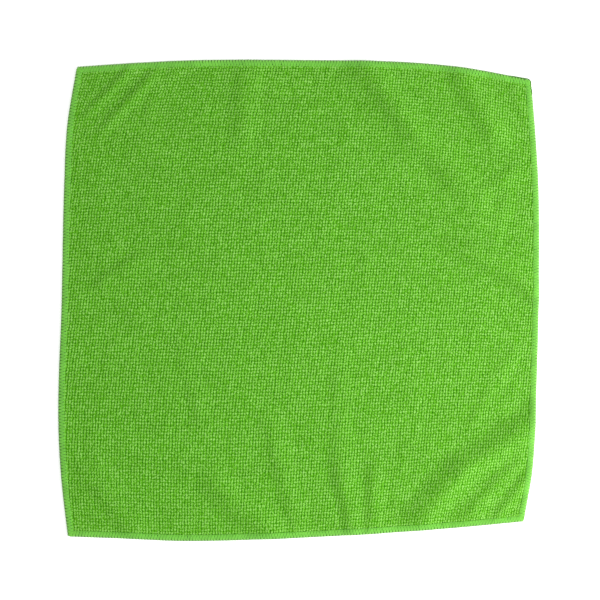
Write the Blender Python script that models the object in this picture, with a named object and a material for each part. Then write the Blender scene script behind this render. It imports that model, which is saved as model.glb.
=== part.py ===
"""Microfibre cloth: one square of looped cloth that lies flat, its raw edges wrapped in overlock thread.

Metres, +Z up. The origin is at the centre of the cloth's footprint, on the surface that it lies on.
Seen from above, +X runs to the right and +Y to the top.
"""

import math
from collections import namedtuple

import bmesh
import bpy
from mathutils import Vector

MM = 0.001

# The cut measures about 300 mm across its middle. Its corners are drawn in by the sewing, so each side
# bows outwards between them.
Corner = namedtuple("Corner", "x y")
Side = namedtuple("Side", "name start end bow_1_8 bow_1_4 bow_1_2 bow_3_4 bow_7_8")

CORNERS = {
    "bottom_left": Corner(-144.1, -147.4),
    "bottom_right": Corner(140.4, -138.0),
    "top_right": Corner(144.9, 137.5),
    "top_left": Corner(-138.5, 145.7),
}
# Anticlockwise round the cloth. A bow is how far the side stands outside the straight line between its
# two corners, at that fraction of the way from start to end. All in millimetres.
SIDES = (
    Side("bottom", "bottom_left", "bottom_right", 2.5, 5.2, 5.6, 3.9, 2.2),
    Side("right", "bottom_right", "top_right", 5.1, 6.3, 7.1, 5.9, 3.4),
    Side("top", "top_right", "top_left", 5.7, 8.6, 8.3, 6.1, 3.4),
    Side("left", "top_left", "bottom_left", 5.3, 6.5, 6.7, 7.4, 4.9),
)
BOW_FRACTIONS = (0.0, 1 / 8, 1 / 4, 1 / 2, 3 / 4, 7 / 8, 1.0)
SIDE_LENGTH = 290 * MM  # a side between its corners, for turning an inset into a fraction

CLOTH_THICKNESS = 2.2 * MM  # knitted ground with loops on both faces
EDGING_THICKNESS = 2.4 * MM
EDGING_WIDTH = 3.5 * MM
THREAD_WALL = 0.45 * MM  # the layer of thread on each face of the raw edge
RAW_EDGE_WALL = 0.6 * MM  # the thread outside the raw edge
GAP = 0.3 * MM
STEP_WIDTH = 0.3 * MM  # the squeezed margin of the cloth swells to its full thickness in this width
ROUND_SEGMENTS = 4  # of the edging's rounded outer edge
SHARP_ANGLE = math.radians(40)
CELLS = 56  # of the cloth between its two squeezed margins, each way
MARGIN_LINES = 2  # the grid lines of each squeezed margin: the raw edge and the end of the squeeze

# The soft folds that stand up from the surface. Each crest runs from start to end, standing off their
# straight line by bow to its left. It falls away within west_width and east_width on its two sides and
# fades out over its first and last parts. All in millimetres.
Fold = namedtuple("Fold", "place start_x start_y end_x end_y bow height west_width east_width")
FOLDS = (
    Fold("right of the middle, in from the top edge", 27, 163, 130, 36, 0, 2.8, 13, 15),
    Fold("the same crest, broader near the top edge", 28, 160, 86, 88, 0, 2.4, 21, 12),
    Fold("top right corner", 92, 152, 131, 92, 0, 3.2, 12, 15),
    Fold("right side, above the middle", 106, 60, 144, 88, 0, 0.7, 8, 8),
    Fold("right side, in from the edge", 80, 41, 166, -12, 6.5, 3.3, 11, 11),
    Fold("bottom right corner, from the bottom edge", 68, -147, 113, -93, 0, 3.3, 16, 12),
    Fold("bottom right corner, to the right edge", 92, -112, 165, -60, -4, 3.6, 16, 12),
    Fold("bottom right corner, second crest", 96, -146, 152, -82, 0, 1.1, 8, 8),
    Fold("right of the middle, long and low", 24, -16, 27, -128, 0, 0.55, 8, 12),
    Fold("right of the middle, in from the bottom edge", 21, -88, 42, -174, 0, 1.8, 9, 14),
    Fold("beside it, short, in from the bottom edge", 47, -96, 46, -166, 0, 1.4, 8, 11),
    Fold("middle, in from the bottom edge", -22, -62, 5, -166, 0, 0.9, 9, 12),
    Fold("left of the middle, in from the bottom edge", -66, -106, 4, -160, 0, 2.6, 14, 14),
    Fold("left of the middle, long and low", -78, -14, -56, -92, 0, 0.5, 7, 9),
    Fold("bottom left corner, across it", -142, -94, -94, -158, 0, 1.2, 9, 16),
    Fold("left side, low", -133, 2, -87, 33, 2, 0.8, 6, 16),
    Fold("left of the middle, in from the top edge", -31, 160, -37, 84, 0, 1.3, 12, 13),
    Fold("left of the middle, below it, low", -18, 88, -30, 54, 0, 0.3, 8, 10),
)
FADE = 0.3  # of a fold's length, at each end


def blend(x):
    """0 up to x = 0 and 1 from x = 1 on, with a smooth rise between."""
    x = min(max(x, 0.0), 1.0)
    return 0.5 * (1 - math.cos(math.pi * x))


def bow_at(side, fraction):
    """How far this side stands outside its straight line, as a smooth curve through the side's bows."""
    bows = (0.0, *side[3:], 0.0)
    steps = list(zip(BOW_FRACTIONS, BOW_FRACTIONS[1:], bows, bows[1:]))
    slopes = [(b1 - b0) / (f1 - f0) for f0, f1, b0, b1 in steps]
    tangents = [slopes[0], *((a + b) / 2 for a, b in zip(slopes, slopes[1:])), slopes[-1]]
    index = next((i for i, step in enumerate(steps) if fraction <= step[1]), len(steps) - 1)
    f0, f1, b0, b1 = steps[index]
    span = f1 - f0
    t = (fraction - f0) / span
    return (
        b0 * (2 * t**3 - 3 * t**2 + 1)
        + tangents[index] * span * (t**3 - 2 * t**2 + t)
        + b1 * (3 * t**2 - 2 * t**3)
        + tangents[index + 1] * span * (t**3 - t**2)
    )


def side_point(side, fraction):
    """A point of the cloth's outline."""
    start = Vector(CORNERS[side.start])
    along = Vector(CORNERS[side.end]) - start
    outwards = Vector((along.y, -along.x)).normalized()
    return (start + along * fraction + outwards * bow_at(side, fraction)) * MM


def place(u, v):
    """The point of the flat cloth that is u of the way from left to right and v from bottom to top."""
    bottom, right, top, left = SIDES
    bottom_left, bottom_right, top_right, top_left = (Vector(corner) * MM for corner in CORNERS.values())
    from_left_to_right = side_point(left, 1 - v) * (1 - u) + side_point(right, v) * u
    from_bottom_to_top = side_point(bottom, u) * (1 - v) + side_point(top, 1 - u) * v
    straight_bottom = bottom_left * (1 - u) + bottom_right * u
    straight_top = top_left * (1 - u) + top_right * u
    return from_left_to_right + from_bottom_to_top - straight_bottom * (1 - v) - straight_top * v


def fold_lift(fold, point):
    start = Vector((fold.start_x, fold.start_y)) * MM
    along = Vector((fold.end_x, fold.end_y)) * MM - start
    left = Vector((-along.y, along.x)).normalized()
    offset = point - start
    travelled = offset.dot(along) / along.length_squared
    if not 0 < travelled < 1:
        return 0.0
    crest = 4 * fold.bow * MM * travelled * (1 - travelled)
    eastwards = (offset.dot(left) - crest) * math.copysign(1, left.x)
    width = (fold.east_width if eastwards > 0 else fold.west_width) * MM
    ends = blend(travelled / FADE) * blend((1 - travelled) / FADE)
    return fold.height * MM * blend(1 - abs(eastwards) / width) * ends


def lift(point):
    """How far the cloth's underside stands off the surface at this point."""
    return sum(fold_lift(fold, point) for fold in FOLDS)


def grid_lines():
    """The fractions at which the cloth's grid lines lie, the same both ways."""
    raw_edge = RAW_EDGE_WALL + GAP
    margin = EDGING_WIDTH + GAP
    full = (margin + STEP_WIDTH) / SIDE_LENGTH
    inner = [full + (1 - 2 * full) * i / CELLS for i in range(CELLS + 1)]
    outer = [raw_edge / SIDE_LENGTH, margin / SIDE_LENGTH]
    return [*outer, *inner, *(1 - fraction for fraction in reversed(outer))]


def make_panel(lines):
    """The cloth: a grid on the folds, extruded upwards. Its margin is squeezed thin between the threads."""
    bm = bmesh.new()
    thickness = bm.verts.layers.float.new("thickness")
    inside = range(MARGIN_LINES, len(lines) - MARGIN_LINES)
    squeeze = THREAD_WALL + GAP
    rows = []
    for row, v in enumerate(lines):
        rows.append([])
        for column, u in enumerate(lines):
            flat = place(u, v)
            full = row in inside and column in inside
            vert = bm.verts.new((flat.x, flat.y, lift(flat) + (0.0 if full else squeeze)))
            vert[thickness] = CLOTH_THICKNESS if full else EDGING_THICKNESS - 2 * squeeze
            rows[-1].append(vert)
    for low, high in zip(rows, rows[1:]):
        for a, b, c, d in zip(low, low[1:], high[1:], high):
            bm.faces.new((a, b, c, d))
    raised = bmesh.ops.extrude_face_region(bm, geom=bm.faces[:])["geom"]
    for vert in raised:
        if isinstance(vert, bmesh.types.BMVert):
            vert.co.z += vert[thickness]
    return bm


def edging_section():
    """The edging cut across, as (inset from the outline, height) points: a C that is open to the cloth."""
    radius = EDGING_THICKNESS / 2
    top = EDGING_THICKNESS
    turns = [math.pi * (0.5 + i / ROUND_SEGMENTS) for i in range(ROUND_SEGMENTS + 1)]
    outer = [(radius + radius * math.cos(turn), radius + radius * math.sin(turn)) for turn in turns]
    return [
        *outer,
        (EDGING_WIDTH, 0.0),
        (EDGING_WIDTH, THREAD_WALL),
        (RAW_EDGE_WALL, THREAD_WALL),
        (RAW_EDGE_WALL, top - THREAD_WALL),
        (EDGING_WIDTH, top - THREAD_WALL),
        (EDGING_WIDTH, top),
    ]


def edging_point(side_index, along, inset, height):
    """A point of the edging: along is a fraction of its side, inset a fraction inwards from the outline."""
    u, v = ((along, inset), (1 - inset, along), (1 - along, 1 - inset), (inset, 1 - along))[side_index]
    flat = place(u, v)
    return (flat.x, flat.y, lift(flat) + height)


def make_edging(side_index, lines):
    """One side's run of thread, mitred to its neighbours. Its rings share the cloth's grid lines."""
    bm = bmesh.new()
    mitre_gap = GAP / math.sqrt(2) / SIDE_LENGTH
    section = [(inset / SIDE_LENGTH, height) for inset, height in edging_section()]
    start_mitre = [edging_point(side_index, inset + mitre_gap, inset, z) for inset, z in section]
    end_mitre = [edging_point(side_index, 1 - inset - mitre_gap, inset, z) for inset, z in section]
    between = [
        [edging_point(side_index, along, inset, z) for inset, z in section]
        for along in lines[MARGIN_LINES:-MARGIN_LINES]
    ]
    rings = [[bm.verts.new(point) for point in ring] for ring in (start_mitre, *between, end_mitre)]
    for ring, after in zip(rings, rings[1:]):
        for i in range(len(ring)):
            bm.faces.new((ring[i - 1], ring[i], after[i], after[i - 1]))
    bm.faces.new(rings[0])
    bm.faces.new(rings[-1])
    return bm


def finish_object(name, bm, material):
    bmesh.ops.recalc_face_normals(bm, faces=bm.faces[:])
    mesh = bpy.data.meshes.new(name)
    bm.to_mesh(mesh)
    bm.free()
    mesh.shade_smooth()
    mesh.set_sharp_from_angle(angle=SHARP_ANGLE)
    mesh.materials.append(material)
    bpy.context.scene.collection.objects.link(bpy.data.objects.new(name, mesh))


def make_material(name, colour, roughness):
    """colour is linear."""
    material = bpy.data.materials.new(name)
    material.use_nodes = True
    shader = material.node_tree.nodes["Principled BSDF"]
    shader.inputs["Base Color"].default_value = (*colour, 1.0)
    shader.inputs["Roughness"].default_value = roughness
    shader.inputs["Metallic"].default_value = 0.0
    return material


for old in list(bpy.data.objects):
    bpy.data.objects.remove(old)

microfibre = make_material("Green looped microfibre", (0.144, 0.456, 0.038), 0.95)
edging_thread = make_material("Green overlock thread", (0.159, 0.578, 0.061), 0.8)

grid = grid_lines()
finish_object("cloth_panel", make_panel(grid), microfibre)
for number, edge in enumerate(SIDES):
    finish_object(f"edging_{edge.name}", make_edging(number, grid), edging_thread)
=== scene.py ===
import math
from collections import namedtuple

import bpy
import numpy as np
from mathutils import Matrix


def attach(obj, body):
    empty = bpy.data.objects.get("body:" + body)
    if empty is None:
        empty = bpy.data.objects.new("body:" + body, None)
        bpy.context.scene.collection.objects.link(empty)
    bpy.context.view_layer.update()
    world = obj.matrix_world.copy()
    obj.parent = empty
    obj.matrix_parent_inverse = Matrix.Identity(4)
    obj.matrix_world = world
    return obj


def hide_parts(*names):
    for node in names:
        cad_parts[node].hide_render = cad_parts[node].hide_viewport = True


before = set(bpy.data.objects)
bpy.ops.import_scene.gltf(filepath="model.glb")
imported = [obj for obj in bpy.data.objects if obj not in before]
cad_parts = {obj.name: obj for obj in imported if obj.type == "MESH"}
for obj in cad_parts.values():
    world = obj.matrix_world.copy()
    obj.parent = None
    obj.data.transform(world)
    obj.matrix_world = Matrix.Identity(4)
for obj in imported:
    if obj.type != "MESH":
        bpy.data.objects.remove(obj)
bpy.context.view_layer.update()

# --- The knitted ground -------------------------------------------------------------------------------
# One square cut of warp-knitted microfibre, the thin close fabric that carries the loops on both faces.
# The sewing draws its corners in, so each side bows out between them, and soft folds run in from the
# edges.
MM = 0.001  # in metres, with +Z up, +X to the right and +Y to the top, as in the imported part
Corner = namedtuple("Corner", "x y")  # corners, bows and folds are in mm
Side = namedtuple("Side", "name start end bow_1_8 bow_1_4 bow_1_2 bow_3_4 bow_7_8")
CORNERS = {
    "bottom_left": Corner(-144.1, -147.4),
    "bottom_right": Corner(140.4, -138.0),
    "top_right": Corner(144.9, 137.5),
    "top_left": Corner(-138.5, 145.7),
}
SIDES = (
    Side("bottom", "bottom_left", "bottom_right", 2.5, 5.2, 5.6, 3.9, 2.2),
    Side("right", "bottom_right", "top_right", 5.1, 6.3, 7.1, 5.9, 3.4),
    Side("top", "top_right", "top_left", 5.7, 8.6, 8.3, 6.1, 3.4),
    Side("left", "top_left", "bottom_left", 5.3, 6.5, 6.7, 7.4, 4.9),
)
BOW_FRACTIONS = np.array((0.0, 1 / 8, 1 / 4, 1 / 2, 3 / 4, 7 / 8, 1.0))
SIDE_LENGTH = 290 * MM  # about each side's length, which turns a distance into a share of the cloth

Fold = namedtuple("Fold", "place start_x start_y end_x end_y bow height west_width east_width")
FOLDS = (
    Fold("right of the middle, in from the top edge", 27, 163, 130, 36, 0, 2.8, 13, 15),
    Fold("the same crest, broader near the top edge", 28, 160, 86, 88, 0, 2.4, 21, 12),
    Fold("top right corner", 92, 152, 131, 92, 0, 3.2, 12, 15),
    Fold("right side, above the middle", 106, 60, 144, 88, 0, 0.7, 8, 8),
    Fold("right side, in from the edge", 80, 41, 166, -12, 6.5, 3.3, 11, 11),
    Fold("bottom right corner, from the bottom edge", 68, -147, 113, -93, 0, 3.3, 16, 12),
    Fold("bottom right corner, to the right edge", 92, -112, 165, -60, -4, 3.6, 16, 12),
    Fold("bottom right corner, second crest", 96, -146, 152, -82, 0, 1.1, 8, 8),
    Fold("right of the middle, long and low", 24, -16, 27, -128, 0, 0.55, 8, 12),
    Fold("right of the middle, in from the bottom edge", 21, -88, 42, -174, 0, 1.8, 9, 14),
    Fold("beside it, short, in from the bottom edge", 47, -96, 46, -166, 0, 1.4, 8, 11),
    Fold("middle, in from the bottom edge", -22, -62, 5, -166, 0, 0.9, 9, 12),
    Fold("left of the middle, in from the bottom edge", -66, -106, 4, -160, 0, 2.6, 14, 14),
    Fold("left of the middle, long and low", -78, -14, -56, -92, 0, 0.5, 7, 9),
    Fold("bottom left corner, across it", -142, -94, -94, -158, 0, 1.2, 9, 16),
    Fold("left side, low", -133, 2, -87, 33, 2, 0.8, 6, 16),
    Fold("left of the middle, in from the top edge", -31, 160, -37, 84, 0, 1.3, 12, 13),
    Fold("left of the middle, below it, low", -18, 88, -30, 54, 0, 0.3, 8, 10),
)
CREASES = (  # finer than the solids hold
    Fold("bottom right corner, third crest", 118, -144, 150, -100, 0, 1.0, 6, 6),
    Fold("bottom right, thin, above the crests", 102, -88, 140, -22, 0, 0.6, 7, 7),
    Fold("top right corner, beside the edge", 131, 138, 146, 104, 0, 0.7, 6, 6),
    Fold("right side, upright", 132, 74, 120, 26, 0, 0.6, 7, 7),
    Fold("top left corner, outer", -138, 110, -98, 152, 0, 0.9, 5, 5),
    Fold("top left corner, inner", -130, 98, -82, 150, 0, 1.2, 6, 6),
    Fold("top left, low", -96, 114, -89, 126, 0, 0.5, 6, 6),
)
FADE = 0.3  # of a fold's length, at each end
RIPPLE_SEED = 3
RIPPLES = 40  # faint waves of the whole cloth, which never lies quite flat
RIPPLE_LENGTHS = (12 * MM, 40 * MM)
RIPPLE_HEIGHT = 0.09 * MM
GROUND_BOTTOM = 0.85 * MM
GROUND_TOP = 1.6 * MM
GROUND_CELLS = 100  # along each side
RAW_EDGE = 0.9 * MM  # the raw edge, inside the outline of the threads
MAP_MARGIN = 0.005
MAP_HALF = (0.49, 0.98)  # each face has one half of the texture map, inside the margin


def blend(x):
    """0 up to x = 0 and 1 from x = 1 on, with a smooth rise between."""
    return 0.5 * (1 - np.cos(np.pi * np.clip(x, 0, 1)))


def bow_at(side, fraction):
    """How far this side stands outside its straight line, as a smooth curve through the side's bows."""
    bows = np.array((0.0, *side[3:], 0.0))
    slopes = np.diff(bows) / np.diff(BOW_FRACTIONS)
    tangents = np.array((slopes[0], *((slopes[:-1] + slopes[1:]) / 2), slopes[-1]))
    index = np.clip(np.searchsorted(BOW_FRACTIONS[1:], fraction), 0, len(slopes) - 1)
    span = np.diff(BOW_FRACTIONS)[index]
    t = (fraction - BOW_FRACTIONS[index]) / span
    return (
        bows[index] * (2 * t**3 - 3 * t**2 + 1)
        + tangents[index] * span * (t**3 - 2 * t**2 + t)
        + bows[index + 1] * (3 * t**2 - 2 * t**3)
        + tangents[index + 1] * span * (t**3 - t**2)
    )


def side_points(side, fraction):
    """The outline's points that are this fraction of the way along one side."""
    start, end = np.array(CORNERS[side.start]), np.array(CORNERS[side.end])
    along = end - start
    outwards = np.array((along[1], -along[0])) / np.hypot(*along)
    return (start + fraction[..., None] * along + bow_at(side, fraction)[..., None] * outwards) * MM


def place(u, v):
    """The flat cloth's points that are u of the way from left to right and v from bottom to top."""
    bottom, right, top, left = SIDES
    corners = {name: np.array(corner) * MM for name, corner in CORNERS.items()}
    across, up = u[..., None], v[..., None]
    from_left_to_right = side_points(left, 1 - v) * (1 - across) + side_points(right, v) * across
    from_bottom_to_top = side_points(bottom, u) * (1 - up) + side_points(top, 1 - u) * up
    straight_bottom = corners["bottom_left"] * (1 - across) + corners["bottom_right"] * across
    straight_top = corners["top_left"] * (1 - across) + corners["top_right"] * across
    return from_left_to_right + from_bottom_to_top - straight_bottom * (1 - up) - straight_top * up


def waves(seed, count, shortest, longest):
    """A smooth random field over the cloth, about -2 to 2, as a function of (..., 2) points."""
    random = np.random.default_rng(seed)
    lengths = random.uniform(shortest, longest, count)
    headings = random.uniform(0, 2 * np.pi, count)
    steps = 2 * np.pi / lengths * np.array((np.cos(headings), np.sin(headings)))
    phases = random.uniform(0, 2 * np.pi, count)

    def field(points):
        total = np.zeros(points.shape[:-1])
        for step_x, step_y, phase in zip(*steps, phases):
            total += np.cos(points[..., 0] * step_x + points[..., 1] * step_y + phase)
        return total * math.sqrt(2 / count)

    return field


ripples = waves(RIPPLE_SEED, RIPPLES, *RIPPLE_LENGTHS)


def fold_lift(fold, points):
    """How far one fold lifts these points: a crest with two flanks, which fades at both its ends."""
    start = np.array((fold.start_x, fold.start_y)) * MM
    along = np.array((fold.end_x, fold.end_y)) * MM - start
    left = np.array((-along[1], along[0])) / np.hypot(*along)
    offset = points - start
    travelled = offset @ along / (along @ along)
    crest = 4 * fold.bow * MM * travelled * (1 - travelled)
    eastwards = (offset @ left - crest) * np.sign(left[0])
    width = np.where(eastwards > 0, fold.east_width, fold.west_width) * MM
    ends = blend(travelled / FADE) * blend((1 - travelled) / FADE)
    return fold.height * MM * blend(1 - np.abs(eastwards) / width) * ends


def lift(points):
    """How far the cloth's underside stands off the surface at these (..., 2) points."""
    folds = sum(fold_lift(fold, points) for fold in (*FOLDS, *CREASES))
    risen = np.logaddexp(0, 2 * ripples(points)) / 2  # never below the surface
    return folds + RIPPLE_HEIGHT * risen


def new_piece(name, points, faces, material, flat_map=None):
    """A smooth mesh piece. flat_map gives each point its place in the piece's texture map."""
    mesh = bpy.data.meshes.new(name)
    mesh.vertices.add(len(points))
    mesh.vertices.foreach_set("co", points.astype(np.float32).ravel())
    mesh.loops.add(faces.size)
    mesh.loops.foreach_set("vertex_index", faces.astype(np.int32).ravel())
    mesh.polygons.add(len(faces))
    mesh.polygons.foreach_set("loop_start", np.arange(0, faces.size, faces.shape[1], dtype=np.int32))
    mesh.update(calc_edges=True)
    mesh.shade_smooth()
    if flat_map is not None:
        layer = mesh.uv_layers.new(name="OFBake")
        layer.uv.foreach_set("vector", flat_map[faces.ravel()].astype(np.float32).ravel())
    mesh.materials.append(material)
    piece = bpy.data.objects.new(name, mesh)
    bpy.context.scene.collection.objects.link(piece)
    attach(piece, "root")
    return piece


def add_values(piece, name, values):
    """Gives each point of the piece a number that its material reads by name."""
    attribute = piece.data.attributes.new(name, "FLOAT", "POINT")
    attribute.data.foreach_set("value", values.astype(np.float32).ravel())


def linear(hex_colour):
    """An sRGB hex colour as linear red, green, blue and alpha."""
    channels = [int(hex_colour[i : i + 2], 16) / 255 for i in (1, 3, 5)]
    return (*(c / 12.92 if c <= 0.04045 else ((c + 0.055) / 1.055) ** 2.4 for c in channels), 1.0)


def add_node(material, kind, inputs, **settings):
    """Adds a node. inputs gives its sockets, by name or number, their values or the outputs they read."""
    tree = material.node_tree
    node = tree.nodes.new(kind)
    for name, value in settings.items():
        setattr(node, name, value)
    for socket, value in inputs.items():
        if isinstance(value, bpy.types.NodeSocket):
            tree.links.new(value, node.inputs[socket])
        else:
            node.inputs[socket].default_value = value
    return node


def patches(material, where, size, detail, least, most):
    """Soft random patches of about this size, as an output that runs from least to most."""
    low, high = 0.3, 0.7  # noise seldom goes further
    noise = add_node(
        material, "ShaderNodeTexNoise", {"Vector": where, "Scale": 1 / size, "Detail": detail}
    ).outputs["Fac"]
    return add_node(
        material,
        "ShaderNodeMapRange",
        {"Value": noise, "From Min": low, "From Max": high, "To Min": least, "To Max": most},
    ).outputs["Result"]


def finish_yarn(material, colour, brightness, where, fuzz_size, fuzz_depth):
    """Gives a yarn its colour, at this brightness, and the fuzz of its loose filaments. These are far
    finer than a pixel, so the fuzz is drawn as coarse as fuzz_size."""
    toned = add_node(material, "ShaderNodeVectorMath", {0: colour, "Scale": brightness}, operation="SCALE")
    fuzz = add_node(
        material, "ShaderNodeTexNoise", {"Vector": where, "Scale": 1 / fuzz_size, "Detail": 2.0}
    )
    bump = add_node(
        material,
        "ShaderNodeBump",
        {"Height": fuzz.outputs["Fac"], "Strength": 0.5, "Distance": fuzz_depth},
    )
    shader = material.node_tree.nodes["Principled BSDF"]
    material.node_tree.links.new(toned.outputs["Vector"], shader.inputs["Base Color"])
    material.node_tree.links.new(bump.outputs["Normal"], shader.inputs["Normal"])


def split_microfibre():
    """Split polyester and polyamide filaments, piece dyed and steamed: matt and soft, with a faint sheen
    where the filaments are seen side on. Its colour is painted shade at the loops' roots, deep between the
    loops where little light comes back, and a paler, whiter painted highlight at their tips."""
    # the roots' colour is painted shade and the tips' paler, whiter colour a painted highlight
    root_shade_green, body_green, tip_highlight_green = "#2A7700", "#58A018", "#86BF5C"
    body_level = 0.6  # of the way from the loops' roots to their tips
    tuft_size = 0.62 * MM  # a loop's filaments part into a few tufts
    tuft_reach = 0.33  # and these are painted as lying this much further in or out than the loop: more shade or more highlight
    dye_size = 14 * MM  # the dye has taken a little unevenly
    dye_change = 0.04
    material = bpy.data.materials.new("Split microfibre")
    material.use_nodes = True
    raised = add_node(material, "ShaderNodeAttribute", {}, attribute_name="raised").outputs["Fac"]
    where = add_node(material, "ShaderNodeTexCoord", {}).outputs["Object"]
    tufts = patches(material, where, tuft_size, 0.5, -tuft_reach, tuft_reach)
    # painted shade and highlight: the deeper a point lies, the darker its colour, and the higher, the
    # paler
    level = add_node(material, "ShaderNodeMath", {0: raised, 1: tufts}, operation="ADD")
    ramp = add_node(material, "ShaderNodeValToRGB", {"Fac": level.outputs["Value"]})
    ramp.color_ramp.elements[0].color = linear(root_shade_green)
    ramp.color_ramp.elements[1].color = linear(tip_highlight_green)
    body = ramp.color_ramp.elements.new(body_level)
    body.color = linear(body_green)
    dye = patches(material, where, dye_size, 3.0, 1 - dye_change, 1 + dye_change)
    finish_yarn(material, ramp.outputs["Color"], dye, where, fuzz_size=0.5 * MM, fuzz_depth=0.15 * MM)
    shader = material.node_tree.nodes["Principled BSDF"]
    shader.inputs["Roughness"].default_value = 0.6
    shader.inputs["Specular IOR Level"].default_value = 0.05
    shader.inputs["Sheen Weight"].default_value = 0.03
    shader.inputs["Sheen Roughness"].default_value = 0.4
    return material


microfibre = split_microfibre()

lines = np.linspace(RAW_EDGE / SIDE_LENGTH, 1 - RAW_EDGE / SIDE_LENGTH, GROUND_CELLS + 1)
crossings = place(*np.meshgrid(lines, lines)).reshape(-1, 2)
standing = lift(crossings)
ground_points = np.vstack(
    [np.column_stack((crossings, standing + level)) for level in (GROUND_TOP, GROUND_BOTTOM)]
)
below = len(crossings)
numbers = np.arange(below).reshape(len(lines), len(lines))
cells = np.stack((numbers[:-1, :-1], numbers[:-1, 1:], numbers[1:, 1:], numbers[1:, :-1]), -1)
cells = cells.reshape(-1, 4)
rim = np.concatenate((numbers[0, :-1], numbers[:-1, -1], numbers[-1, :0:-1], numbers[:0:-1, 0]))
rim_after = np.roll(rim, -1)
rim_faces = np.stack((rim, rim + below, rim_after + below, rim_after), -1)
ground_faces = np.vstack((cells, cells[:, ::-1] + below, rim_faces))
unit = (crossings - crossings.min(0)) / np.ptp(crossings, 0)
ground_map = np.vstack(
    [unit * MAP_HALF + (half_start + MAP_MARGIN, MAP_MARGIN) for half_start in (0.0, 0.5)]
)
ground = new_piece("ground", ground_points, ground_faces, microfibre, ground_map)
# the ground lies deepest between the loops, so it is painted in the roots' shade
add_values(ground, "raised", np.zeros(len(ground_points)))
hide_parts("cloth_panel")

# --- The loops ------------------------------------------------------------------------------------------
# Short loops of soft, split microfibre yarn that the knitting machine draws out of the ground on both
# faces, one for each stitch. They stand in upright wales and level courses, a little crowded and uneven,
# and lean where the steaming and wiping have laid them.
WALE_PITCH = 1.79 * MM
COURSE_PITCH = 1.94 * MM
WALE_CROWD = (0.075, 0.23)  # the wales are closer towards the sides, most at the right
COURSE_CROWD = (0.10, 0.07)  # and the courses towards the top
WALE_LEAN = 0.096  # the cut is off the grain: across in u for each unit of v, in the middle of the cloth
WALE_CURVE = 0.045  # and more towards the top
SPARE_WALES = 1.2  # times as many as the cloth holds: those that lean out of its outline are dropped
SPARE_COURSES = 1.1
LOOP_SEED = 7
STRAY = 0.08 * MM  # neighbouring loops stray together this far
STRAY_SEEDS = (8, 9)
STRAY_WAVES = 40
STRAY_LENGTHS = (5 * MM, 14 * MM)
JITTER = 0.06 * MM  # and each loop on its own
PILE_EDGE = 2.5 * MM  # the first loops stand under the sewn threads' inner ends
ROOM_LIMITS = (0.6, 1.4)  # a loop fills the room up to its neighbours, from crowded to open
MATTED_SEED = 5
MATTED_WAVES = 30
MATTED_LENGTHS = (4 * MM, 10 * MM)  # in patches the loops are broader and hide what lies between them
MATTED_LIMIT = 1.5
MATTED_SPREAD = 0.035
LOOP_HEIGHT = 0.6 * MM  # above the ground
LOOP_RADII = (0.92 * MM, 1.24 * MM)  # across and along the wale
LOOP_ANGLES = np.radians((0, 60, 120, 180, 240, 300))
LOOP_SIDES = len(LOOP_ANGLES)
LOOP_GROWTH = (0.97, 1.03)  # the share of its height that a loop reaches
LOOP_UNEVEN = (0.9, 1.1)  # and the share of its radius, at each of its sides
LOOP_TURN = math.radians(-6)  # from the wale
LOOP_TURN_SPREAD = math.radians(12)
LOOP_LEAN = 0.25 * MM
LOOP_LEAN_RANGE = (0.3, 1.7)
LOOP_SHOULDER = math.radians(32)  # a sharper turn than this parts a loop's rounded top from its walls
UNDER_ANGLES = np.radians((45, 135, 225, 315))

# Each ring of a loop's points has shares of its radii, height and lean, and a place in the colours from
# the root, 0, in painted shade, to the tip, 1, in a painted highlight.
Ring = namedtuple("Ring", "radius height lean raised")
LOOP_RINGS = (Ring(0, 1.0, 1.0, 0.9), Ring(0.76, 0.74, 0.4, 0.62), Ring(1.3, -0.1, 0.0, 0.12))
UNDER_RINGS = (Ring(0, 1.0, 1.0, 0.9), Ring(1.0, -0.1, 0.0, 0.12))


def crowd(steps, closer):
    """Evenly spaced steps from the middle of the cloth, drawn closer further out."""
    first, second = closer
    return steps - first / 2 * steps**2 - second / 3 * steps**3


random = np.random.default_rng(LOOP_SEED)
cloth_width = math.dist(*place(np.array((0.0, 1.0)), np.array((0.5, 0.5))))
cloth_height = math.dist(*place(np.array((0.5, 0.5)), np.array((0.0, 1.0))))
wales = math.ceil(SPARE_WALES * cloth_width / WALE_PITCH)
courses = math.ceil(SPARE_COURSES * cloth_height / COURSE_PITCH)
wale = 0.5 + crowd((np.arange(wales) - wales / 2) * WALE_PITCH / cloth_width, WALE_CROWD)
course = 0.5 + crowd((np.arange(courses) - courses / 2) * COURSE_PITCH / cloth_height, COURSE_CROWD)
leant = WALE_LEAN * (course - 0.5) + WALE_CURVE * (course - 0.5) ** 2
loop_u, loop_v = np.broadcast_arrays(wale[None, :] + leant[:, None], course[:, None])
spots = np.stack((loop_u * cloth_width, loop_v * cloth_height), -1)
stray_u, stray_v = (STRAY * waves(seed, STRAY_WAVES, *STRAY_LENGTHS)(spots) for seed in STRAY_SEEDS)
loop_u = loop_u + (stray_u + random.normal(0, JITTER, loop_u.shape)) / cloth_width
loop_v = loop_v + (stray_v + random.normal(0, JITTER, loop_v.shape)) / cloth_height
room_across = np.gradient(loop_u, axis=1) * cloth_width / WALE_PITCH
room_along = np.gradient(loop_v, axis=0) * cloth_height / COURSE_PITCH
from_sides = np.minimum(loop_u, 1 - loop_u) * cloth_width
from_ends = np.minimum(loop_v, 1 - loop_v) * cloth_height
kept = np.minimum(from_sides, from_ends) > PILE_EDGE
roots = place(loop_u[kept], loop_v[kept])
loops = len(roots)

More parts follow.
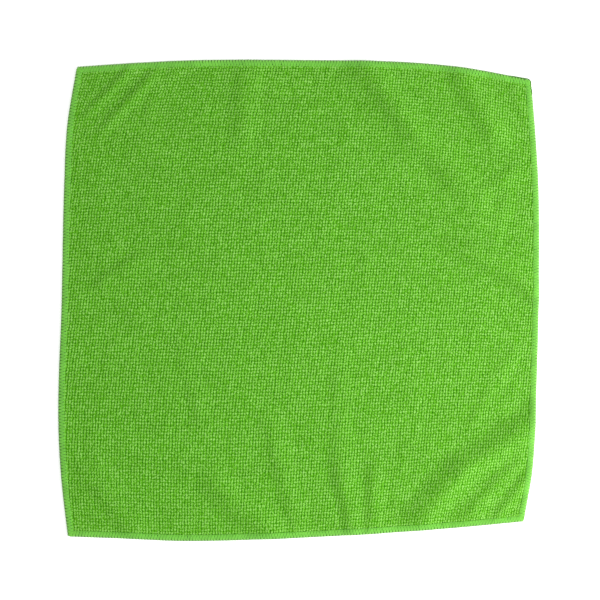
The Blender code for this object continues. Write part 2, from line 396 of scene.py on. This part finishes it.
room = np.clip(np.stack((room_across[kept], room_along[kept]), -1), *ROOM_LIMITS)
matted = waves(MATTED_SEED, MATTED_WAVES, *MATTED_LENGTHS)(roots)
matted = np.clip(matted, -MATTED_LIMIT, MATTED_LIMIT)
grown = random.uniform(*LOOP_GROWTH, loops)
breadth = room * (1 + MATTED_SPREAD * matted)[:, None]
uneven = random.uniform(*LOOP_UNEVEN, (loops, LOOP_SIDES))
turned = random.normal(LOOP_TURN, LOOP_TURN_SPREAD, loops)
lean_way = random.uniform(0, 2 * np.pi, loops)
leaning = LOOP_LEAN * random.uniform(*LOOP_LEAN_RANGE, loops)


def stand(rings, angles, base, height):
    """A loop on every root, as rings of points from its tip to its foot, and how far each ring is raised
    from the root's colour, painted shade, to the tip's, a painted highlight."""
    across = np.stack((np.cos(turned), np.sin(turned)), -1)[:, None, :]
    along = np.stack((-np.sin(turned), np.cos(turned)), -1)[:, None, :]
    lean = (leaning[:, None] * np.stack((np.cos(lean_way), np.sin(lean_way)), -1))[:, None, :]
    layers, raised = [], []
    for ring in rings:
        count = len(angles) if ring.radius else 1
        angle = angles[:count]
        radius_across = ring.radius * LOOP_RADII[0] * breadth[:, :1] * uneven[:, :count]
        radius_along = ring.radius * LOOP_RADII[1] * breadth[:, 1:] * uneven[:, :count]
        flat = (
            roots[:, None, :]
            + (radius_across * np.cos(angle))[..., None] * across
            + (radius_along * np.sin(angle))[..., None] * along
            + ring.lean * lean
        )
        z = lift(flat) + base + ring.height * height * grown[:, None]
        layers.append(np.concatenate((flat, np.maximum(z, 0)[..., None]), -1))
        raised += [ring.raised] * count
    return np.concatenate(layers, 1), np.tile(raised, (len(roots), 1))


def loop_piece(name, points, raised, faces, members):
    """These members of the loops as one mesh, mapped flat from above."""
    points_each = points.shape[1]
    points = points[members].reshape(-1, 3)
    flat = points[:, :2]
    piece = new_piece(
        name,
        points,
        (faces[None] + points_each * np.arange(len(members))[:, None, None]).reshape(-1, 3),
        microfibre,
        (flat - flat.min(0)) / np.ptp(flat, 0) * (1 - 2 * MAP_MARGIN) + MAP_MARGIN,
    )
    piece.data.set_sharp_from_angle(angle=LOOP_SHOULDER)
    add_values(piece, "raised", raised[members])
    return piece


around = np.arange(LOOP_SIDES)
after = (around + 1) % LOOP_SIDES
tip, waist, foot = 0, 1, 1 + LOOP_SIDES
loop_faces = np.vstack(
    (
        np.stack((np.full(LOOP_SIDES, tip), waist + around, waist + after), -1),
        np.stack((waist + around, foot + around, foot + after), -1),
        np.stack((waist + around, foot + after, waist + after), -1),
        np.stack((np.full(LOOP_SIDES - 2, foot), foot + after[1:-1], foot + around[1:-1]), -1),
    )
)
upper, upper_raised = stand(LOOP_RINGS, LOOP_ANGLES, GROUND_TOP, LOOP_HEIGHT)
strips = np.array_split(np.argsort(roots[:, 0], kind="stable"), 3)
piles = [
    loop_piece(f"loops_{part}", upper, upper_raised, loop_faces, members)
    for part, members in zip(("left", "middle", "right"), strips)
]
under_faces = np.array(((0, 2, 1), (0, 3, 2), (0, 4, 3), (0, 1, 4), (1, 2, 3), (1, 3, 4)))
lower, lower_raised = stand(UNDER_RINGS, UNDER_ANGLES, GROUND_BOTTOM, -GROUND_BOTTOM)
piles.append(loop_piece("loops_underside", lower, lower_raised, under_faces, np.arange(loops)))

# --- The overlocked edging ------------------------------------------------------------------------------
# Three loose, bulked polyester threads that wrap the raw edge, sewn one side at a time on an overlocker.
# The two looper threads lie in waves over the two faces and meet at the edge, and the needle's thread
# runs along their inner ends and pulls a shallow groove.
STITCH = 1.9 * MM
STITCHES = round(SIDE_LENGTH / STITCH) - 1  # along each side, from half a stitch in
BAND = 3.4 * MM  # from the outline to the needle's line
BAND_MIDDLE = 1.2 * MM  # half the threads' thickness, where the two loopers meet
BAND_RISE = 0.93 * MM  # from there to the middle of the looper thread on the face
ROUNDING = 1.3 * MM  # the thread turns over the edge within this
YARN_SIDES = 5
UP = np.array((0.0, 0.0, 1.0))

LOOPER_WIDTH = 1.12 * MM
LOOPER_HEIGHT = 0.54 * MM
LOOPER_START = 0.28 * MM  # from the outline to the middle of the thread, where it turns
LOOPER_BEND = 0.86  # near 0 the thread's waves are plain sines, and towards 1 their turns flatten
LOOPER_SWELLING = 0.15  # the thread is this much broader at its turns
LOOPER_SAG = 0.12 * MM  # the needle's thread pulls it down
LOOPER_SAG_START = 0.7  # from this share of the band on
LOOPER_POINTS = 12  # a stitch
Uneven = namedtuple("Uneven", "inset along height width")
LOOPER_UNEVEN = Uneven(0.10 * MM, 0.08 * MM, 0.03 * MM, 0.05)  # from stitch to stitch
EDGING_SEED = 20

NEEDLE_WIDTH = 0.62 * MM
NEEDLE_HEIGHT = 0.42 * MM
NEEDLE_LEVEL = 1.75 * MM  # its middle, where it goes down through the cloth
NEEDLE_HUMP = 0.48 * MM  # and how far it rises between
NEEDLE_PINCH = 0.7  # the share of its width that is left where it goes down
NEEDLE_STRAY = 0.05 * MM
NEEDLE_POINTS = 4  # a stitch

TAIL = (  # the turns of the uncut end, in mm, from the last stitch on
    (131.6, 139.9),
    (134.6, 139.6),
    (137.8, 139.0),
    (141.2, 138.4),
    (143.2, 138.2),
    (144.5, 136.9),
    (144.9, 135.3),
    (144.4, 134.0),
    (144.8, 132.6),
    (145.4, 130.9),
    (145.6, 128.6),
)
TAIL_WIDTH = 0.6 * MM
TAIL_HEIGHT = 2.1 * MM  # its middle, over the cloth's underside
TAIL_DARKER = 1.6  # darkened all over on the threads' painted shade scale, as if it lay this much deeper
TAIL_POINTS = 6  # a turn


def bulked_thread():
    """Textured polyester sewing thread, dyed a shade lighter and bluer than the cloth: a soft, faintly
    silky band. Its crimped filaments part where they turn over the edge, and the rim is painted paler
    there, a painted glow for the light through them; down where the threads meet it is painted shade."""
    # the rim's colour is a painted glow, paler where light comes through the filaments
    rim_glow_green, thread_green, inner_green = "#88C062", "#6DB740", "#67B436"
    thread_level = 0.35  # of the way from the rim to the needle's line
    gap_shade = 0.66  # painted shade: what is left of the colour down where two threads meet
    dye_size = 7 * MM
    dye_change = 0.08
    material = bpy.data.materials.new("Bulked overlock thread")
    material.use_nodes = True
    raised = add_node(material, "ShaderNodeAttribute", {}, attribute_name="raised").outputs["Fac"]
    inwards = add_node(material, "ShaderNodeAttribute", {}, attribute_name="inwards").outputs["Fac"]
    where = add_node(material, "ShaderNodeTexCoord", {}).outputs["Object"]
    ramp = add_node(material, "ShaderNodeValToRGB", {"Fac": inwards})
    ramp.color_ramp.elements[0].color = linear(rim_glow_green)
    ramp.color_ramp.elements[1].color = linear(inner_green)
    thread = ramp.color_ramp.elements.new(thread_level)
    thread.color = linear(thread_green)
    # painted shade: darker down towards the threads' undersides and the gaps between them
    shade = add_node(
        material, "ShaderNodeMapRange", {"Value": raised, "To Min": gap_shade}, clamp=False
    ).outputs["Result"]
    dye = patches(material, where, dye_size, 2.0, 1 - dye_change, 1 + dye_change)
    brightness = add_node(
        material, "ShaderNodeMath", {0: shade, 1: dye}, operation="MULTIPLY"
    ).outputs["Value"]
    colour = ramp.outputs["Color"]
    finish_yarn(material, colour, brightness, where, fuzz_size=0.35 * MM, fuzz_depth=0.1 * MM)
    shader = material.node_tree.nodes["Principled BSDF"]
    shader.inputs["Roughness"].default_value = 0.8
    shader.inputs["Specular IOR Level"].default_value = 0.3
    shader.inputs["Sheen Weight"].default_value = 0.2
    shader.inputs["Sheen Roughness"].default_value = 0.4
    return material


def band_points(side_index, along, inset, height):
    """Points over one side's band: along and inset in metres from its start and from the outline."""
    a, i = along / SIDE_LENGTH, inset / SIDE_LENGTH
    u, v = ((a, i), (1 - i, a), (1 - a, 1 - i), (i, 1 - a))[side_index]
    flat = place(u, v)
    return np.concatenate((flat, (lift(flat) + height)[..., None]), -1)


def yarn(path, up, width, height):
    """A flattened tube along path, closed at both ends: width lies across and height along up. Gives its
    points, its faces and how far each point is raised from the tube's underside, 0, to its top, 1, which
    sets its painted shade."""
    forward = np.gradient(path, axis=0)
    aside = np.cross(forward, up)
    aside /= np.linalg.norm(aside, axis=-1, keepdims=True)
    over = np.cross(aside, forward)
    over /= np.linalg.norm(over, axis=-1, keepdims=True)
    turn = (np.arange(YARN_SIDES) + 0.5) * 2 * np.pi / YARN_SIDES
    width, height = np.broadcast_to(width, len(path)), np.broadcast_to(height, len(path))
    rings = (
        path[:, None]
        + width[:, None, None] / 2 * np.cos(turn)[None, :, None] * aside[:, None]
        + height[:, None, None] / 2 * np.sin(turn)[None, :, None] * over[:, None]
    )
    rings[..., 2] = np.maximum(rings[..., 2], 0)
    numbers = np.arange(len(path) * YARN_SIDES).reshape(len(path), YARN_SIDES)
    a, b = numbers[:-1], np.roll(numbers, -1, 1)[:-1]
    c, d = np.roll(numbers, -1, 1)[1:], numbers[1:]
    walls = np.vstack((np.stack((a, d, b), -1).reshape(-1, 3), np.stack((b, d, c), -1).reshape(-1, 3)))
    fan = np.array([(0, i, i + 1) for i in range(1, YARN_SIDES - 1)])
    caps = np.vstack((numbers[0][fan], numbers[-1][fan[:, ::-1]]))
    raised = np.tile(0.5 + 0.5 * np.sin(turn), (len(path), 1))
    return rings.reshape(-1, 3), np.vstack((walls, caps)), raised.ravel()


def looper(side_index, face, phase, random):
    """The looper thread of one face, 1 for the upper and -1 for the lower: waves from needle to edge."""
    turn = np.arange(STITCHES * LOOPER_POINTS + 1) / LOOPER_POINTS
    knots = np.arange(STITCHES + 2)
    wander, swell = (np.interp(turn, knots, random.normal(0, 1, len(knots))) for _ in range(2))
    bend = LOOPER_BEND * math.pi / 2
    wave = np.sin(bend * np.cos(2 * np.pi * (turn + phase))) / math.sin(bend)
    reach = LOOPER_START + (BAND - LOOPER_START) * (0.5 + 0.5 * wave)
    inset = reach + LOOPER_UNEVEN.inset * wander * (wave > 0)
    over_edge = np.clip(inset / ROUNDING, 0, 1)
    rise = np.sqrt(1 - (1 - over_edge) ** 2)
    sag = LOOPER_SAG * blend((inset / BAND - LOOPER_SAG_START) / (1 - LOOPER_SAG_START))
    height = BAND_MIDDLE + face * (BAND_RISE * rise - sag + LOOPER_UNEVEN.height * swell)
    along = (turn + 0.5) * STITCH + LOOPER_UNEVEN.along * wander
    path = band_points(side_index, along, inset, height)
    step = 0.5 * MM  # towards the middle of the cloth
    inwards = band_points(side_index, along, inset + step, height) - path
    inwards[:, 2] = 0
    inwards /= np.linalg.norm(inwards, axis=-1, keepdims=True)
    up = face * UP * rise[:, None] - inwards * (1 - rise)[:, None]
    width = LOOPER_WIDTH * (1 + LOOPER_SWELLING * np.abs(wave) ** 3 + LOOPER_UNEVEN.width * swell)
    return (*yarn(path, up, width, LOOPER_HEIGHT), np.repeat(inset / BAND, YARN_SIDES))


def needle_line(side_index, random):
    """The needle's thread along the inner ends of the upper looper: short stitches, sunk between."""
    turn = np.arange(STITCHES * NEEDLE_POINTS + 1) / NEEDLE_POINTS
    hump = 0.5 - 0.5 * np.cos(2 * np.pi * turn)
    inset = BAND + NEEDLE_STRAY * random.normal(0, 1, len(turn))
    path = band_points(side_index, (turn + 0.5) * STITCH, inset, NEEDLE_LEVEL + NEEDLE_HUMP * hump)
    width = NEEDLE_WIDTH * (NEEDLE_PINCH + (1 - NEEDLE_PINCH) * hump)
    return (*yarn(path, UP, width, NEEDLE_HEIGHT), np.repeat(inset / BAND, YARN_SIDES))


def tail():
    """The last seam's needle thread, not cut off: it lies on the rim, round the top right corner."""
    turns = np.array(TAIL) * MM
    fine = np.linspace(0, len(turns) - 1, TAIL_POINTS * len(turns))
    flat = np.column_stack([np.interp(fine, np.arange(len(turns)), axis) for axis in turns.T])
    flat[1:-1] = (flat[:-2] + flat[1:-1] + flat[2:]) / 3
    path = np.column_stack((flat, lift(flat) + TAIL_HEIGHT))
    points, faces, raised = yarn(path, UP, TAIL_WIDTH, TAIL_WIDTH)
    # the tail is darkened on the threads' painted shade scale
    return points, faces, raised - TAIL_DARKER, np.ones_like(raised)


def join(threads):
    """Several threads as one: each has its points, its faces, how far each point is raised from the gaps
    between the threads, which sets its painted shade, and how far in it lies, from 0 at the outline to 1
    at the needle's line, which sets its colour from the rim's painted glow inwards."""
    points, faces, raised, inwards = zip(*threads)
    starts = np.cumsum([0, *(len(thread_points) for thread_points in points[:-1])])
    faces = np.vstack([thread_faces + start for thread_faces, start in zip(faces, starts)])
    return np.vstack(points), faces, np.concatenate(raised), np.concatenate(inwards)


overlock_thread = bulked_thread()
for side_index, side in enumerate(SIDES):
    random = np.random.default_rng(EDGING_SEED + side_index)
    threads = [looper(side_index, 1, 0.0, random), looper(side_index, -1, 0.5, random)]
    threads.append(needle_line(side_index, random))
    if side.name == "top":
        threads.append(tail())
    points, faces, raised, inwards = join(threads)
    edging = new_piece(f"overlock_{side.name}", points, faces, overlock_thread)
    add_values(edging, "raised", raised)
    add_values(edging, "inwards", inwards)
    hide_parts(f"edging_{side.name}")

# --- The photographer's table, lamp and camera ----------------------------------------------------------
# A table top of opal acrylic, lit from below so that shadows on it fade, under one broad, soft lamp low on
# the right, with white walls all round. The camera hangs straight above the cloth on a long lens.
TABLE_REACH = 4.0  # metres from the middle to each side
TABLE_GLOW = 0.45
ROOM_GLOW = 0.70
LAMP_SIZE = 0.5  # metres
LAMP_WATTS = 9.4
LAMP_PLACE = (0.63, -0.21, 0.54)  # metres
VIEW_WIDTH = 0.375  # metres across the picture
VIEW_CENTRE = (0.75 * MM, 0.19 * MM)
LENS = 130.0  # mm, on a 36 mm sensor
SENSOR = 36.0

table_corners = [(x * TABLE_REACH, y * TABLE_REACH, 0.0) for x, y in ((-1, -1), (1, -1), (1, 1), (-1, 1))]
floor_mesh = bpy.data.meshes.new("floor")
floor_mesh.from_pydata(table_corners, [], [(0, 1, 2, 3)])
opal_acrylic = bpy.data.materials.new("Opal acrylic, lit from below")
opal_acrylic.use_nodes = True
acrylic = opal_acrylic.node_tree.nodes["Principled BSDF"].inputs
acrylic["Base Color"].default_value = linear("#EDEDED")
acrylic["Roughness"].default_value = 0.9
acrylic["Emission Color"].default_value = (1.0, 1.0, 1.0, 1.0)
acrylic["Emission Strength"].default_value = TABLE_GLOW
floor_mesh.materials.append(opal_acrylic)
floor = bpy.data.objects.new("floor", floor_mesh)
bpy.context.scene.collection.objects.link(floor)

white_room = bpy.data.worlds.new("White room")
white_room.use_nodes = True
white_walls = white_room.node_tree.nodes["Background"].inputs
white_walls["Color"].default_value = (1.0, 1.0, 1.0, 1.0)
white_walls["Strength"].default_value = ROOM_GLOW
bpy.context.scene.world = white_room

lamp_data = bpy.data.lights.new("lamp", "AREA")
lamp_data.shape = "SQUARE"
lamp_data.size = LAMP_SIZE
lamp_data.energy = LAMP_WATTS
lamp = bpy.data.objects.new("lamp", lamp_data)
lamp.location = LAMP_PLACE
lamp.rotation_euler = (-lamp.location).to_track_quat("-Z", "Y").to_euler()
bpy.context.scene.collection.objects.link(lamp)

camera_data = bpy.data.cameras.new("camera")
camera_data.lens = LENS
camera_data.sensor_width = SENSOR
camera = bpy.data.objects.new("camera", camera_data)
camera.location = (*VIEW_CENTRE, VIEW_WIDTH * LENS / SENSOR)
bpy.context.scene.collection.objects.link(camera)
bpy.context.scene.camera = camera
bpy.context.scene.view_settings.view_transform = "Standard"
